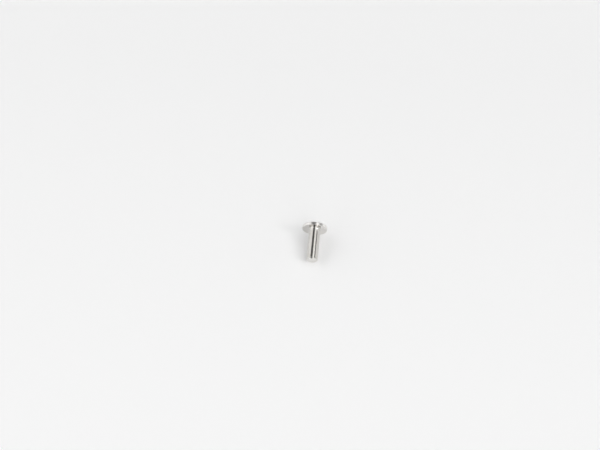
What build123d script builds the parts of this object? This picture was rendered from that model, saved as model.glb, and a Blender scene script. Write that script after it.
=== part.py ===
from build123d import *
from math import asin, atan2, cos, degrees, hypot, radians, sin, tan
import os

# Wide flat head machine screw, lying on a table as it comes to rest.
# All sizes are in millimetres. The screw is drawn upright about its own axis, with the
# underside of the head at height 0 and the shank standing up from it, and is then laid
# down on the rim of its head and the end of its thread.

# Head
head_diameter = 10.5
head_thickness = 1.4
top_edge_radius = 0.3
underside_edge_radius = 0.15

# Shank, measured over the crests of the thread
thread_diameter = 5.0
length_under_head = 14.0
neck_fillet_radius = 0.3
end_chamfer = 0.3

# Cross recess in the outer face of the head
recess_span = 4.6
recess_foot_span = 2.3
recess_flare_degrees = 26.5
recess_point_degrees = 28.0
wing_width = 1.2
wing_draft_degrees = 3.5
core_diameter = 2.1
recess_turn_degrees = 30.0

# How far cutting shapes reach past the face that they open
cut_past = 0.5

head_radius = head_diameter / 2
thread_radius = thread_diameter / 2
end_radius = thread_radius - end_chamfer
chamfer_start = length_under_head - end_chamfer
top_face = -head_thickness

# Turned outline of head and shank, drawn in the plane of the axis
outline = Polyline(
    (0, top_face),
    (head_radius, top_face),
    (head_radius, 0),
    (thread_radius, 0),
    (thread_radius, chamfer_start),
    (end_radius, length_under_head),
    (0, length_under_head),
    close=True,
)
profile = Plane.XZ * make_face(outline)


def corner(radius, height):
    """The one corner of the outline at this radius and height."""
    spot = Vector(radius, 0, height)
    return min(profile.vertices(), key=lambda v: (v.center() - spot).length)


profile = fillet(corner(head_radius, top_face), top_edge_radius)
profile = fillet(corner(head_radius, 0), underside_edge_radius)
profile = fillet(corner(thread_radius, 0), neck_fillet_radius)
blank = revolve(profile, Axis.Z)

# The recess is punched from the outer face. Its wings end on a cone that narrows to the
# foot, and the foot ends in a shallow point.
flare = tan(radians(recess_flare_degrees))
recess_depth = (recess_span - recess_foot_span) / 2 / flare
foot_height = top_face + recess_depth
point_height = foot_height + recess_foot_span / 2 * tan(radians(recess_point_degrees))
mouth_radius = recess_span / 2 + cut_past * flare
envelope_outline = Polyline(
    (0, top_face - cut_past),
    (mouth_radius, top_face - cut_past),
    (recess_foot_span / 2, foot_height),
    (0, point_height),
    close=True,
)
envelope = revolve(Plane.XZ * make_face(envelope_outline), Axis.Z)

# One wing runs right across the recess and thins towards the foot
wing_start = top_face - cut_past
wing_height = point_height - wing_start
draft = tan(radians(wing_draft_degrees))
wing_mouth = wing_width + 2 * cut_past * draft
wing_tip = wing_mouth - 2 * wing_height * draft
wing_reach = 2 * mouth_radius + cut_past
wing = loft(
    [
        Plane.XY.offset(wing_start) * Rectangle(wing_reach, wing_mouth),
        Plane.XY.offset(point_height) * Rectangle(wing_reach, wing_tip),
    ]
)
core_mouth = core_diameter / 2 + cut_past * draft
core_tip = core_mouth - wing_height * draft
core = Pos(0, 0, wing_start + wing_height / 2) * Cone(core_mouth, core_tip, wing_height)
cross = wing + Rot(0, 0, 90) * wing + core
recess = Rot(0, 0, recess_turn_degrees) * (cross & envelope)
screw = blank - recess

# At rest the screw touches the table with the rounded underside edge of its head and with
# the corner where the end chamfer starts. This is the slope of its axis below level.
rise = head_radius - underside_edge_radius - thread_radius
run = chamfer_start + underside_edge_radius
rest_tilt = atan2(rise, run) + asin(underside_edge_radius / hypot(rise, run))

# Height of the axis at the underside of the head, from the chamfer's lowest corner
axis_height = chamfer_start * sin(rest_tilt) + thread_radius * cos(rest_tilt)

# Furthest reach of the end and of the head along the table, for the middle of the length
end_reach = length_under_head * cos(rest_tilt) + end_radius * sin(rest_tilt)
head_reach = (
    (head_thickness - top_edge_radius) * cos(rest_tilt)
    + (head_radius - top_edge_radius) * sin(rest_tilt)
    + top_edge_radius
)
middle = (end_reach - head_reach) / 2

# Origin on the table, under the middle of the screw, with the shank pointing to -Y
screw = Pos(0, middle, axis_height) * Rot(90 + degrees(rest_tilt), 0, 0) * screw

os.makedirs("parts", exist_ok=True)
export_step(screw, "parts/screw.step")

box = screw.bounding_box()
print("tilt at rest", round(degrees(rest_tilt), 4), "degrees")
print("underside centre", 0, round(middle, 4), round(axis_height, 4))
print("low corner", box.min, "high corner", box.max)
print("volume", round(screw.volume, 3), "solids", len(screw.solids()))
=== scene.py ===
from math import asin, atan2, cos, hypot, pi, radians, sin, sqrt, tan, tau

import bmesh
import bpy
from mathutils import Matrix, Vector


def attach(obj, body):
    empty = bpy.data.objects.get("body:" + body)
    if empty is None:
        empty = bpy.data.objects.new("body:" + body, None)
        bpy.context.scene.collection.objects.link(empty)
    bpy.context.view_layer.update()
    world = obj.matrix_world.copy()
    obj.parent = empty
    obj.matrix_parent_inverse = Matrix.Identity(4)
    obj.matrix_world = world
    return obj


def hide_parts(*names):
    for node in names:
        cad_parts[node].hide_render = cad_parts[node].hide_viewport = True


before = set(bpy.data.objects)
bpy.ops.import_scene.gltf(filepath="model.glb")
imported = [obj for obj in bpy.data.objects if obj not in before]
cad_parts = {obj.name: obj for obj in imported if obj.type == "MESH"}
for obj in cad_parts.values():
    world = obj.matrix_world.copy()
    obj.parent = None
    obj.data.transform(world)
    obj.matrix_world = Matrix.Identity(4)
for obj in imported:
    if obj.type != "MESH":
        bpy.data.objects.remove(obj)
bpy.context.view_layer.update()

# A machine screw with a thin wide flat head and a fine thread along the whole shank, lying
# on its side. It is made upright in millimetres, with the underside of its head at height 0
# and its shank pointing up, and is then laid down in metres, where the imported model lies.

MM = 0.001

# Head, in millimetres
HEAD_RADIUS = 5.25
HEAD_THICKNESS = 1.4
TOP_EDGE_RADIUS = 0.3
UNDERSIDE_EDGE_RADIUS = 0.15
HEAD_CROWN = 0.05  # the pressed outer face is this much lower at its edge

# Shank
SHANK_RADIUS = 2.5
SHANK_LENGTH = 14.0
END_CHAMFER = 0.3
NECK_FILLET = 0.25
NECK_LENGTH = 0.5  # from the underside to the first trace of the thread

# Thread, right-handed, in the standard fine form for this shank
PITCH = 0.5
CREST_RADIUS = 2.485
THREAD_DEPTH = 0.6134 * PITCH
CREST_EDGE_RADIUS = 0.08 * PITCH
ROOT_EDGE_RADIUS = 0.144 * PITCH
FLANK_HALF_ANGLE = radians(30)
RUN_IN_TURNS = 1.1  # over which the thread grows to its full depth
LAST_CREST_GAP = 0.12 * PITCH  # from the chamfer to the last crest on the side that lies down
LOWEST_SIDE = -0.25  # that side, in turns round the axis

# Worked out from these
ROOT_RADIUS = CREST_RADIUS - THREAD_DEPTH
BLANK_RADIUS = CREST_RADIUS - THREAD_DEPTH / 2  # the plain rod that the thread is rolled on
HALF_CREST = PITCH / 16  # half of a crest's width before its edges are rounded
HALF_FLAT = HALF_CREST - CREST_EDGE_RADIUS * tan(FLANK_HALF_ANGLE)  # half of it once they are
CREST_ROUND_END = HALF_FLAT + CREST_EDGE_RADIUS * cos(FLANK_HALF_ANGLE)
ROOT_ROUND_START = PITCH / 2 - ROOT_EDGE_RADIUS * cos(FLANK_HALF_ANGLE)
THREAD_LENGTH = SHANK_LENGTH - NECK_LENGTH
CHAMFER_HEIGHT = SHANK_LENGTH - (CREST_RADIUS - (SHANK_RADIUS - END_CHAMFER))
CREST_SHIFT = (CHAMFER_HEIGHT - LAST_CREST_GAP - LOWEST_SIDE * PITCH) % PITCH

# Cross recess in the outer face
RECESS_RADIUS = 2.3
RECESS_FOOT_RADIUS = 1.15
RECESS_FLARE = radians(26.5)
RECESS_POINT = radians(28)
WING_WIDTH = 1.2
WING_DRAFT = radians(3.5)
CORE_RADIUS = 1.05
RECESS_TURN = radians(30)
MOUTH_ROUNDING = 0.05
CUT_PAST = 0.5  # how far the punch reaches past the face
APART = 0.1  # keeps two of the punch's end faces out of one plane
FACES_OUT = 0.99  # the outer face's normals point out at least this much
TURNS_IN = 0.7  # and those of the recess's walls at most this much

# How finely the mesh is made
COLUMNS = 96  # round the axis
CROWN_RINGS = 5
TOP_EDGE_STEPS = 8
UNDERSIDE_EDGE_STEPS = 6
MOUTH_STEPS = 2
NECK_STEPS = 8
ROW_TURN = 20  # degrees from one row of the thread to the next on its rounded edges
ROWS_PER_EDGE = 4
RIM_BORDER = 0.6  # from the rim to the outer ring on the flat underside
NECK_BORDER = 0.4  # from the neck's fillet to the inner ring there
SAME_POINT = 0.001  # points that are nearer than this are one
SEAM_SLACK = 0.00001  # of a turn: points this near to the seam are on it
SHARP_ANGLE = 30  # degrees between two faces whose shared edge shows as an edge

# Plate, and the marks on it in millimetres
PLATE = "#E5E4E2"
PLATE_THICK = "#DDDAD6"
# Painted shade: the roots of the thread are coloured darker than the plate
PAINTED_ROOT_SHADE = "#C8C6C3"
RINGS_PER_MM = 9.0  # real ones are some 0.02 mm apart: drawn five times as coarse to show
RINGS_ACROSS = 1.7  # how many times closer they lie across the head than along the shank
RINGS_AROUND = 0.12  # how much they change round the axis
RING_HEIGHT = 0.0012
WAVES_PER_MM = 0.9
WAVE_HEIGHT = 0.006
HAIRLINES_PER_MM = 1.1
HAIRLINE_TURN = (0.5, 0.9, 0.3)  # radians, off the screw's axes
HAIRLINE_STRETCH = (0.05, 2.4, 1.6)  # long one way and thin the other two
HAIRLINE_WIDTH = 0.005  # of the noise's range, to either side of the contour
HAIRLINE_DEPTH = 0.0008
END_FACE = 0.02  # what lies this near to the screw's end is its flat face

# Table, in metres. Its lift is how much brighter than its own colour it looks in the picture.
LAMINATE = "#F4F4F4"
TABLE_HALF_WIDTH = 1.5
TABLE_HALF_SEEN = 0.11  # about as far as the picture shows it, to the front and to the back
TABLE_LIFT_NEAR = 0.20
TABLE_LIFT_FAR = 0.155

TENT_LEVEL = 1.34  # brightness of the light tent's white walls

# Picture
ELEVATION = radians(53.5)
YAW = radians(5.4)
LENS = 50.0  # millimetres
SENSOR = 36.0  # millimetres
PICTURE = (600, 450)  # pixels
UNDERSIDE_AT = (314.67, 229.83)  # pixel at the middle of the head's underside
HEAD_SEEN = 25.04  # pixels across the head
PIXELS_PER_METRE = HEAD_SEEN / (2 * HEAD_RADIUS * MM)

# Lie of the screw: it rests on the rim of its head and on the start of its end chamfer
rise = HEAD_RADIUS - UNDERSIDE_EDGE_RADIUS - SHANK_RADIUS
run = SHANK_LENGTH - END_CHAMFER + UNDERSIDE_EDGE_RADIUS
REST_TILT = atan2(rise, run) + asin(UNDERSIDE_EDGE_RADIUS / hypot(rise, run))
axis_height = (SHANK_LENGTH - END_CHAMFER) * sin(REST_TILT) + SHANK_RADIUS * cos(REST_TILT)
end_reach = SHANK_LENGTH * cos(REST_TILT) + (SHANK_RADIUS - END_CHAMFER) * sin(REST_TILT)
head_reach = (
    (HEAD_THICKNESS - TOP_EDGE_RADIUS) * cos(REST_TILT)
    + (HEAD_RADIUS - TOP_EDGE_RADIUS) * sin(REST_TILT)
    + TOP_EDGE_RADIUS
)
UNDERSIDE_CENTRE = Vector((0, (end_reach - head_reach) / 2, axis_height)) * MM
REST_TURN = pi / 2 + REST_TILT
TO_REST = (
    Matrix.Translation(UNDERSIDE_CENTRE) @ Matrix.Rotation(REST_TURN, 4, "X") @ Matrix.Scale(MM, 4)
)


# Shapes

AROUND_AXIS = {"cent": (0, 0, 0), "axis": (0, 0, 1)}  # for every spin


def arc(centre, radius, start, stop, steps):
    """Points (radius from the axis, height) on an arc, its angles in degrees."""
    turns = [radians(start + (stop - start) * k / steps) for k in range(steps + 1)]
    return [(centre[0] + radius * cos(t), centre[1] + radius * sin(t)) for t in turns]


def draw_line(bm, points):
    """A line of edges in the plane of the axis, from points (radius, height)."""
    verts = [bm.verts.new((r, 0, z)) for r, z in points]
    return verts + [bm.edges.new(pair) for pair in zip(verts, verts[1:])]


def spin_whole(bm, points):
    """Spins a line of points (radius, height) once round the axis."""
    line = draw_line(bm, points)
    bmesh.ops.spin(bm, geom=line, angle=tau, steps=COLUMNS, use_merge=True, **AROUND_AXIS)


def as_object(bm, name):
    """Turns the shape into an object in the scene."""
    mesh = bpy.data.meshes.new(name)
    bm.to_mesh(mesh)
    bm.free()
    made = bpy.data.objects.new(name, mesh)
    bpy.context.scene.collection.objects.link(made)
    return made


def keep_modified(body):
    """Gives the object the mesh that its modifiers make of it."""
    seen = bpy.context.evaluated_depsgraph_get()
    mesh = bpy.data.meshes.new_from_object(body.evaluated_get(seen))
    body.modifiers.clear()
    body.data = mesh


def combine(body, tool, operation):
    """Joins, crosses or cuts body with tool, which is used up."""
    step = body.modifiers.new("cut", "BOOLEAN")
    step.operation = operation
    step.solver = "EXACT"
    step.object = tool
    keep_modified(body)
    bpy.data.objects.remove(tool)
    return body


def smooth_step(x):
    """Grows softly from 0 to 1 as x does."""
    x = min(max(x, 0), 1)
    return x * x * (3 - 2 * x)


def thread_surface(away):
    """Radius of the full thread at a distance along the axis from its nearest crest."""
    if away <= HALF_FLAT:
        return CREST_RADIUS
    if away <= CREST_ROUND_END:
        drop = sqrt(CREST_EDGE_RADIUS**2 - (away - HALF_FLAT) ** 2)
        return CREST_RADIUS - CREST_EDGE_RADIUS + drop
    if away <= ROOT_ROUND_START:
        return CREST_RADIUS - (away - HALF_CREST) / tan(FLANK_HALF_ANGLE)
    return ROOT_RADIUS + ROOT_EDGE_RADIUS - sqrt(ROOT_EDGE_RADIUS**2 - (PITCH / 2 - away) ** 2)


def thread_rows():
    """Heights of one pitch's rows from root to root, close together where the form turns."""
    bends = [radians(ROW_TURN * k) for k in range(ROWS_PER_EDGE)]
    root = [ROOT_EDGE_RADIUS * sin(b) for b in bends]
    crest = [PITCH / 2 - HALF_FLAT - CREST_EDGE_RADIUS * sin(b) for b in reversed(bends)]
    half = root + crest
    return half + [PITCH - z for z in reversed(half)]


def shank_radius(height, turn):
    """Radius of the shank's surface at a height and at a part of a turn round the axis."""
    beyond = (height - CREST_SHIFT) / PITCH - turn
    away = abs((beyond + 0.5) % 1 - 0.5) * PITCH
    grown = smooth_step((height - NECK_LENGTH) / (RUN_IN_TURNS * PITCH))
    radius = BLANK_RADIUS + (thread_surface(away) - BLANK_RADIUS) * grown
    return min(radius, SHANK_RADIUS - END_CHAMFER + SHANK_LENGTH - height)


def helical_tube(bm, start, halves):
    """A plain tube of half turns, each the thread's rows spun along a helix."""
    line = draw_line(bm, [(BLANK_RADIUS, start + z) for z in thread_rows()])
    half = COLUMNS // 2
    lift = (0, 0, PITCH / COLUMNS)
    bmesh.ops.spin(
        bm, geom=line, dvec=lift, angle=pi, steps=half, use_merge=False, **AROUND_AXIS
    )
    bmesh.ops.spin(
        bm,
        geom=bm.verts[:] + bm.edges[:] + bm.faces[:],
        dvec=(0, 0, PITCH / 2),
        angle=pi * (halves - 1),
        steps=halves - 1,
        use_duplicate=True,
        **AROUND_AXIS,
    )
    bmesh.ops.remove_doubles(bm, verts=bm.verts, dist=SAME_POINT)


def flatten_ends(bm, start, turns):
    """Draws the first and the last pitch of the tube out to flat rings at the thread's ends."""
    slack = SAME_POINT / 2
    for v in bm.verts:
        turn = atan2(v.co.y, v.co.x) / tau
        first = (turn + SEAM_SLACK) % 1
        last = (turn - turns + SEAM_SLACK) % 1
        above = v.co.z - (start + PITCH * first)
        below = start + PITCH * (turns + last) - v.co.z
        if above < PITCH - slack:
            v.co.z = max(NECK_LENGTH, NECK_LENGTH + above * first)
        elif below < PITCH - slack:
            v.co.z = min(SHANK_LENGTH, SHANK_LENGTH - below * (1 - last))
    bmesh.ops.remove_doubles(bm, verts=bm.verts, dist=SAME_POINT)


def threaded_shank():
    """A plain tube with a row for each bend of the thread, up to one pitch too long at either
    end. Its ends are drawn out flat, it gets a ring where the chamfer starts, and each point
    then moves to the thread's surface."""
    bm = bmesh.new()
    halves = round(2 * THREAD_LENGTH / PITCH) + 2
    start = NECK_LENGTH - PITCH
    helical_tube(bm, start, halves)
    flatten_ends(bm, start, halves / 2)
    bmesh.ops.bisect_plane(
        bm,
        geom=bm.verts[:] + bm.edges[:] + bm.faces[:],
        dist=2 * SAME_POINT,
        plane_co=(0, 0, CHAMFER_HEIGHT),
        plane_no=(0, 0, 1),
    )
    for v in bm.verts:
        turn = atan2(v.co.y, v.co.x) / tau
        radius = shank_radius(v.co.z, turn)
        v.co.x = radius * cos(turn * tau)
        v.co.y = radius * sin(turn * tau)
    mesh = bpy.data.meshes.new("threaded_shank")
    bm.to_mesh(mesh)
    bm.free()
    return mesh


def head_and_neck(bm):
    """The pressed head with its rounded edges, the fillet and the plain neck, spun whole."""
    crown = [(HEAD_RADIUS - TOP_EDGE_RADIUS) * k / CROWN_RINGS for k in range(CROWN_RINGS)]
    points = [(r, -HEAD_THICKNESS + HEAD_CROWN * (r / HEAD_RADIUS) ** 2) for r in crown]
    top_edge = (HEAD_RADIUS - TOP_EDGE_RADIUS, -HEAD_THICKNESS + HEAD_CROWN + TOP_EDGE_RADIUS)
    points += arc(top_edge, TOP_EDGE_RADIUS, -90, 0, TOP_EDGE_STEPS)
    low_edge = (HEAD_RADIUS - UNDERSIDE_EDGE_RADIUS, -UNDERSIDE_EDGE_RADIUS)
    points += arc(low_edge, UNDERSIDE_EDGE_RADIUS, 0, 90, UNDERSIDE_EDGE_STEPS)
    fillet = (BLANK_RADIUS + NECK_FILLET, NECK_FILLET)
    points += [(HEAD_RADIUS - RIM_BORDER, 0), (fillet[0] + NECK_BORDER, 0)]
    points += arc(fillet, NECK_FILLET, 270, 180, NECK_STEPS)
    points += [(BLANK_RADIUS, NECK_LENGTH)]
    spin_whole(bm, points)


def recess_punch():
    """The punch that presses the cross recess: two crossed wings and a round core, cut to a
    cone that narrows to the foot and ends in a shallow point."""
    flare = tan(RECESS_FLARE)
    draft = tan(WING_DRAFT)
    foot = -HEAD_THICKNESS + (RECESS_RADIUS - RECESS_FOOT_RADIUS) / flare
    point = foot + RECESS_FOOT_RADIUS * tan(RECESS_POINT)
    start = -HEAD_THICKNESS - CUT_PAST
    deep = point + CUT_PAST - start
    wing_reach = 4 * RECESS_RADIUS
    mouth_width = WING_WIDTH + 2 * CUT_PAST * draft

    def wing(turn):
        bm = bmesh.new()
        made = bmesh.ops.create_cube(bm, size=1)["verts"]
        bmesh.ops.scale(bm, vec=(wing_reach, mouth_width, deep), verts=made)
        far = [v for v in made if v.co.z > 0]
        bmesh.ops.scale(bm, vec=(1, 1 - 2 * deep * draft / mouth_width, 1), verts=far)
        bmesh.ops.translate(bm, vec=(0, 0, start + deep / 2), verts=made)
        bmesh.ops.rotate(bm, cent=(0, 0, 0), matrix=Matrix.Rotation(turn, 3, "Z"), verts=made)
        return as_object(bm, "wing")

    bm = bmesh.new()
    core_deep = deep + 2 * APART
    core_mouth = CORE_RADIUS + CUT_PAST * draft
    bmesh.ops.create_cone(
        bm,
        cap_ends=True,
        segments=COLUMNS,
        radius1=core_mouth,
        radius2=core_mouth - core_deep * draft,
        depth=core_deep,
        matrix=Matrix.Translation((0, 0, start - APART + core_deep / 2)),
    )
    core = as_object(bm, "core")

    bm = bmesh.new()
    cone_start = start + APART
    cone_mouth = RECESS_RADIUS + (CUT_PAST - APART) * flare
    spin_whole(
        bm, [(0, cone_start), (cone_mouth, cone_start), (RECESS_FOOT_RADIUS, foot), (0, point)]
    )
    bmesh.ops.remove_doubles(bm, verts=bm.verts, dist=SAME_POINT)
    bmesh.ops.recalc_face_normals(bm, faces=bm.faces)
    cone = as_object(bm, "cone")

    punch = combine(wing(RECESS_TURN), wing(RECESS_TURN + pi / 2), "UNION")
    punch = combine(punch, core, "UNION")
    return combine(punch, cone, "INTERSECT")


def put_in_order(bm):
    """Puts points, edges and faces in an order that follows from where they are. A cut leaves
    them in any order, so that what is merged and rounded next would differ a little each run."""

    def corners(part):
        return sorted(v.co[:] for v in getattr(part, "verts", (part,)))

    for parts in (bm.verts, bm.edges, bm.faces):
        order = {part: k for k, part in enumerate(sorted(parts, key=corners))}
        parts.sort(key=order.get)
        parts.index_update()


def close_and_turn_out(bm):
    """Closes the open rings and turns the faces outwards."""
    bmesh.ops.holes_fill(bm, edges=[e for e in bm.edges if e.is_boundary], sides=0)
    bmesh.ops.recalc_face_normals(bm, faces=bm.faces)


def round_mouth(bm):
    """Rounds the edges where the flat outer face turns into the walls of the recess."""
    mouth = []
    for e in bm.edges:
        near = all(hypot(*v.co.xy) < HEAD_RADIUS / 2 for v in e.verts)
        if near and len(e.link_faces) == 2:
            wall, face = sorted(-f.normal.z for f in e.link_faces)
            if face > FACES_OUT and wall < TURNS_IN:
                mouth.append(e)
    bmesh.ops.bevel(
        bm,
        geom=mouth,
        offset=MOUTH_ROUNDING,
        offset_type="OFFSET",
        segments=MOUTH_STEPS,
        profile=0.5,
        affect="EDGES",
        clamp_overlap=True,
        material=-1,
    )


def even_shading(made):
    """Lets flat faces look flat beside rounded ones, and keeps the edges. The faces count by
    their areas, which in metres would be too small to count, so this comes before the screw
    is laid down."""
    made.data.set_sharp_from_angle(angle=radians(SHARP_ANGLE))
    even = made.modifiers.new("flat faces stay flat", "WEIGHTED_NORMAL")
    even.keep_sharp = True
    keep_modified(made)


def flat_head_screw():
    """The whole screw as one closed skin. The recess is pressed into the head while the neck
    is closed, then the neck opens and the shank joins it."""
    bm = bmesh.new()
    head_and_neck(bm)
    bmesh.ops.remove_doubles(bm, verts=bm.verts, dist=SAME_POINT)
    close_and_turn_out(bm)
    made = combine(as_object(bm, "flat_head_screw"), recess_punch(), "DIFFERENCE")

    bm = bmesh.new()
    bm.from_mesh(made.data)
    put_in_order(bm)
    bmesh.ops.remove_doubles(bm, verts=bm.verts, dist=SAME_POINT / 2)
    round_mouth(bm)
    lid = [f for f in bm.faces if all(v.co.z > NECK_LENGTH - SAME_POINT for v in f.verts)]
    bmesh.ops.delete(bm, geom=lid, context="FACES")
    bm.from_mesh(threaded_shank())
    bmesh.ops.remove_doubles(bm, verts=bm.verts, dist=SAME_POINT)
    close_and_turn_out(bm)
    for f in bm.faces:
        f.smooth = True
    bm.to_mesh(made.data)
    bm.free()
    made.data.materials.clear()
    even_shading(made)
    made.data.transform(TO_REST)
    return made


def table_top():
    """A plain flat top under the screw, far wider than the picture."""
    bm = bmesh.new()
    bmesh.ops.create_grid(bm, x_segments=1, y_segments=1, size=TABLE_HALF_WIDTH)
    return as_object(bm, "table")


# Finishes


def hex_colour(code):
    """An sRGB hex colour as the linear colour that a shader socket takes."""
    levels = [int(code[i : i + 2], 16) / 255 for i in (1, 3, 5)]
    return [c / 12.92 if c <= 0.04045 else ((c + 0.055) / 1.055) ** 2.4 for c in levels] + [1]


def feed(tree, node, inputs):
    """Sets inputs of a node. Each is a number, a vector, a colour, an output of another node,
    or another node, which then gives its first output."""
    for name, value in inputs.items():
        if isinstance(value, bpy.types.Node):
            value = value.outputs[0]
        if isinstance(value, bpy.types.NodeSocket):
            tree.links.new(value, node.inputs[name])
        else:
            node.inputs[name].default_value = value


def add(tree, kind, inputs=None, **settings):
    """Adds a node with its settings and inputs."""
    made = tree.nodes.new(kind)
    for name, value in settings.items():
        setattr(made, name, value)
    feed(tree, made, inputs or {})
    return made


def own_place(tree):
    """Places in millimetres in the screw's own frame, its axis along Z."""
    return add(
        tree,
        "ShaderNodeMapping",
        {
            "Vector": add(tree, "ShaderNodeTexCoord").outputs["Object"],
            "Location": UNDERSIDE_CENTRE,
            "Rotation": (REST_TURN, 0, 0),
            "Scale": (MM, MM, MM),
        },
        vector_type="TEXTURE",
    )


def die_rings(tree, flat, off_axis, height):
    """Fine rings round the axis, on the head as well as on the shank."""
    outwards = add(
        tree,
        "ShaderNodeMath",
        {0: off_axis, 1: RINGS_ACROSS, 2: height},
        operation="MULTIPLY_ADD",
    )
    around = add(tree, "ShaderNodeVectorMath", {0: flat, "Scale": RINGS_AROUND}, operation="SCALE")
    lift = add(tree, "ShaderNodeCombineXYZ", {"Z": outwards})
    place = add(tree, "ShaderNodeVectorMath", {0: around, 1: lift}, operation="ADD")
    return add(
        tree,
        "ShaderNodeTexNoise",
        {"Vector": place, "Scale": RINGS_PER_MM, "Detail": 3.0, "Roughness": 0.6},
    )


def hairlines(tree, own):
    """1 on the thin contours of a drawn-out noise, and 0 beside them."""
    place = add(
        tree,
        "ShaderNodeMapping",
        {"Vector": own, "Rotation": HAIRLINE_TURN, "Scale": HAIRLINE_STRETCH},
    )
    contour = add(
        tree, "ShaderNodeTexNoise", {"Vector": place, "Scale": HAIRLINES_PER_MM, "Detail": 0.0}
    )
    apart = add(tree, "ShaderNodeMath", {0: contour, 1: 0.5}, operation="SUBTRACT")
    apart = add(tree, "ShaderNodeMath", {0: apart}, operation="ABSOLUTE")
    return add(
        tree,
        "ShaderNodeMapRange",
        {"Value": apart, "From Min": 0.0, "From Max": HAIRLINE_WIDTH, "To Min": 1, "To Max": 0},
    )


def thread_roots(tree, off_axis, on_shank, height):
    """1 at the bottom of the thread, and 0 from half its depth outwards."""
    root = add(
        tree,
        "ShaderNodeMapRange",
        {
            "Value": off_axis,
            "From Min": ROOT_RADIUS,
            "From Max": BLANK_RADIUS,
            "To Min": 1,
            "To Max": 0,
        },
        interpolation_type="SMOOTHSTEP",
    )
    before_end = add(
        tree, "ShaderNodeMath", {0: height, 1: SHANK_LENGTH - END_FACE}, operation="LESS_THAN"
    )
    between = add(tree, "ShaderNodeMath", {0: on_shank, 1: before_end}, operation="MULTIPLY")
    return add(tree, "ShaderNodeMath", {0: root, 1: between}, operation="MULTIPLY")


def bright_nickel_plate():
    """Bright nickel plate over steel, the head cold-pressed and the thread rolled, then tumbled.
    It is nearly a mirror with a warm tint. Faint rings from the dies run round the axis, and
    tumbling leaves soft waves about 1 mm long and a few hairlines. The plate is thinner and
    duller in the roots of the thread, where its colour is also painted darker as shade."""
    made = bpy.data.materials.new("bright_nickel_plate")
    made.use_nodes = True
    tree = made.node_tree
    own = own_place(tree)
    flat = add(tree, "ShaderNodeVectorMath", {0: own, 1: (1, 1, 0)}, operation="MULTIPLY")
    off_axis = add(tree, "ShaderNodeVectorMath", {0: flat}, operation="LENGTH").outputs["Value"]
    height = add(tree, "ShaderNodeSeparateXYZ", {"Vector": own}).outputs["Z"]
    on_shank = add(tree, "ShaderNodeMath", {0: height, 1: NECK_LENGTH}, operation="GREATER_THAN")
    rim = add(
        tree,
        "ShaderNodeMapRange",
        {
            "Value": off_axis,
            "From Min": HEAD_RADIUS - TOP_EDGE_RADIUS,
            "From Max": HEAD_RADIUS - UNDERSIDE_EDGE_RADIUS / 2,
        },
        interpolation_type="SMOOTHSTEP",
    )
    rings = die_rings(tree, flat, off_axis, height)
    waves = add(
        tree, "ShaderNodeTexNoise", {"Vector": own, "Scale": WAVES_PER_MM, "Detail": 1.0}
    )
    hairline = hairlines(tree, own)
    in_root = thread_roots(tree, off_axis, on_shank, height)

    # Tint, a little warmer where the plate is thick
    tint = add(
        tree,
        "ShaderNodeMix",
        {"Factor": waves, 6: hex_colour(PLATE), 7: hex_colour(PLATE_THICK)},
        data_type="RGBA",
    ).outputs[2]
    # The roots of the thread are painted darker here, a painted shade
    tint = add(
        tree,
        "ShaderNodeMix",
        {"Factor": in_root, 6: tint, 7: hex_colour(PAINTED_ROOT_SHADE)},
        data_type="RGBA",
    ).outputs[2]

    # The head is pressed, not rolled, and its rim bulges freely between the dies, so the head
    # is a little duller than the thread and its rim duller still
    roughness = add(
        tree,
        "ShaderNodeMapRange",
        {"Value": rings, "From Min": 0.3, "From Max": 0.7, "To Min": 0.11, "To Max": 0.18},
    )
    for place, duller in ((hairline, 0.12), (on_shank, -0.05), (rim, 0.20), (in_root, 0.12)):
        roughness = add(
            tree, "ShaderNodeMath", {0: place, 1: duller, 2: roughness}, operation="MULTIPLY_ADD"
        )

    bump = add(
        tree, "ShaderNodeBump", {"Height": waves, "Strength": 1.0, "Distance": WAVE_HEIGHT * MM}
    )
    bump = add(
        tree,
        "ShaderNodeBump",
        {"Height": rings, "Normal": bump, "Strength": 1.0, "Distance": RING_HEIGHT * MM},
    )
    bump = add(
        tree,
        "ShaderNodeBump",
        {"Height": hairline, "Normal": bump, "Strength": 1.0, "Distance": HAIRLINE_DEPTH * MM},
        invert=True,
    )
    shader = tree.nodes["Principled BSDF"]
    feed(tree, shader, {"Metallic": 1.0, "Base Color": tint})
    feed(tree, shader, {"Roughness": roughness, "Normal": bump})
    return made


def matt_white_laminate():
    """Matt white laminate. Under the soft light it shows nearly white, with the screw's
    shadow on it. For camera and glossy rays it also glows, a painted light that makes it whiter
    and is a little stronger toward the front."""
    made = bpy.data.materials.new("matt_white_laminate")
    made.use_nodes = True
    tree = made.node_tree
    rays = add(tree, "ShaderNodeLightPath").outputs
    seen = rays["Is Camera Ray"]
    for ray in ("Is Glossy Ray", "Is Transmission Ray"):
        seen = add(tree, "ShaderNodeMath", {0: seen, 1: rays[ray]}, operation="MAXIMUM")
    place = add(tree, "ShaderNodeTexCoord").outputs["Object"]
    # Painted light: a glow for camera and glossy rays, a little stronger toward the front
    lift = add(
        tree,
        "ShaderNodeMapRange",
        {
            "Value": add(tree, "ShaderNodeSeparateXYZ", {"Vector": place}).outputs["Y"],
            "From Min": -TABLE_HALF_SEEN,
            "From Max": TABLE_HALF_SEEN,
            "To Min": TABLE_LIFT_NEAR,
            "To Max": TABLE_LIFT_FAR,
        },
    )
    shown = add(tree, "ShaderNodeMath", {0: seen, 1: lift}, operation="MULTIPLY")
    shader = tree.nodes["Principled BSDF"]
    feed(tree, shader, {"Base Color": hex_colour(LAMINATE), "Roughness": 0.7})
    feed(tree, shader, {"Emission Color": (1, 1, 1, 1), "Emission Strength": shown})
    return made


# Light and camera


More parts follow.
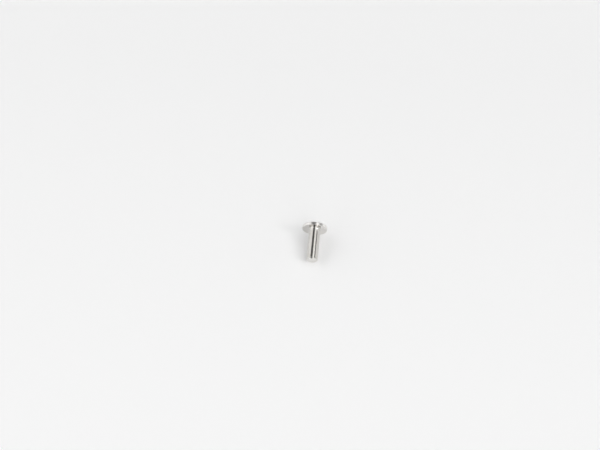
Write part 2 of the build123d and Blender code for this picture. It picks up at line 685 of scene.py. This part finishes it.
def disc(tree, toward, direction, inner, outer):
    """1 within the inner angle round a direction and 0 beyond the outer one, in degrees."""
    facing = Vector(direction).normalized()
    ahead = add(tree, "ShaderNodeVectorMath", {0: toward, 1: facing}, operation="DOT_PRODUCT")
    return add(
        tree,
        "ShaderNodeMapRange",
        {
            "Value": ahead.outputs["Value"],
            "From Min": cos(radians(outer)),
            "From Max": cos(radians(inner)),
        },
        interpolation_type="SMOOTHSTEP",
    )


def panel(tree, toward, direction, sideways, half_width, half_length, soft):
    """1 within a flat rectangle square to a direction, one unit away, and 0 beyond its soft
    edge."""
    facing = Vector(direction).normalized()
    across = Vector(sideways)
    across = (across - facing * across.dot(facing)).normalized()
    ahead = add(tree, "ShaderNodeVectorMath", {0: toward, 1: facing}, operation="DOT_PRODUCT")
    ahead = ahead.outputs["Value"]

    # Only what lies ahead counts, and nothing is divided by zero
    inside = add(tree, "ShaderNodeMath", {0: ahead, 1: 0.01}, operation="GREATER_THAN")
    ahead = add(tree, "ShaderNodeMath", {0: ahead, 1: 0.001}, operation="MAXIMUM")
    for side, half in ((across, half_width), (facing.cross(across), half_length)):
        off = add(tree, "ShaderNodeVectorMath", {0: toward, 1: side}, operation="DOT_PRODUCT")
        off = add(
            tree, "ShaderNodeMath", {0: off.outputs["Value"], 1: ahead}, operation="DIVIDE"
        )
        off = add(tree, "ShaderNodeMath", {0: off}, operation="ABSOLUTE")
        edge = add(
            tree,
            "ShaderNodeMapRange",
            {
                "Value": off,
                "From Min": half - soft,
                "From Max": half + soft,
                "To Min": 1,
                "To Max": 0,
            },
            interpolation_type="SMOOTHSTEP",
        )
        inside = add(tree, "ShaderNodeMath", {0: inside, 1: edge}, operation="MULTIPLY")
    return inside


def light_tent():
    """A white light tent round the screw. The camera looks in through a long dark gap that
    runs overhead from front to back, which the polished shank shows as its dark stripe. A dark
    panel at the back right gives it a second, fainter stripe, and a bright one low down beside
    that lights its right flank. One soft lamp between the stripes draws the bright line, and a
    stronger one at the right front throws the shadows to the left. The back wall is dimmer, so
    that it shades the head's outer face."""
    made = bpy.data.worlds.new("light_tent")
    made.use_nodes = True
    tree = made.node_tree
    toward = add(tree, "ShaderNodeTexCoord").outputs["Generated"]
    back_wall = panel(tree, toward, (0, 0.96, 0.28), (1, 0, 0), 1.7, 0.4, 0.25)
    dim_panel = panel(tree, toward, (0.77, 0.33, 0.54), (0.55, 0.15, -0.82), 0.28, 1.7, 0.05)
    low_panel = panel(tree, toward, (0.89, 0.40, 0.16), (0.2, 0.1, -0.97), 0.15, 0.22, 0.05)
    dark_gap = panel(tree, toward, (-0.20, -0.20, 0.96), (1, 0, 0), 0.41, 4.0, 0.07)
    soft_lamp = disc(tree, toward, (0.366, 0.277, 0.888), 5, 12)
    strong_lamp = disc(tree, toward, (0.76, -0.30, 0.58), 7, 11)
    layers = (
        (back_wall, 0.4),
        (dim_panel, 0.08),
        (low_panel, 1.2),
        (dark_gap, 0.045),
        (soft_lamp, 1.5),
        (strong_lamp, 6.2),
    )
    tent = (1, 1, 1, 1)
    for shape, level in layers:
        tent = add(
            tree,
            "ShaderNodeMix",
            {"Factor": shape, 6: tent, 7: (level, level, level, 1)},
            data_type="RGBA",
        ).outputs[2]
    feed(tree, tree.nodes["Background"], {"Color": tent, "Strength": TENT_LEVEL})
    return made


def picture_camera():
    """The camera looks down at the head's underside from beyond the end of the shank."""
    lens = bpy.data.cameras.new("camera")
    lens.lens = LENS
    lens.sensor_width = SENSOR
    made = bpy.data.objects.new("camera", lens)
    bpy.context.scene.collection.objects.link(made)
    back = Vector((sin(YAW) * cos(ELEVATION), -cos(YAW) * cos(ELEVATION), sin(ELEVATION)))
    turn = (-back).to_track_quat("-Z", "Y")
    right = turn @ Vector((1, 0, 0))
    up = turn @ Vector((0, 1, 0))
    aside = right * (UNDERSIDE_AT[0] - PICTURE[0] / 2) + up * (PICTURE[1] / 2 - UNDERSIDE_AT[1])
    distance = PICTURE[0] / PIXELS_PER_METRE * LENS / SENSOR
    made.rotation_mode = "QUATERNION"
    made.rotation_quaternion = turn
    made.location = UNDERSIDE_CENTRE - aside / PIXELS_PER_METRE + back * distance
    return made


screw = flat_head_screw()
screw.data.materials.append(bright_nickel_plate())
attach(screw, "root")
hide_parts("screw")

table = table_top()
table.data.materials.append(matt_white_laminate())

bpy.context.scene.world = light_tent()
bpy.context.scene.camera = picture_camera()
bpy.context.scene.view_settings.view_transform = "Standard"
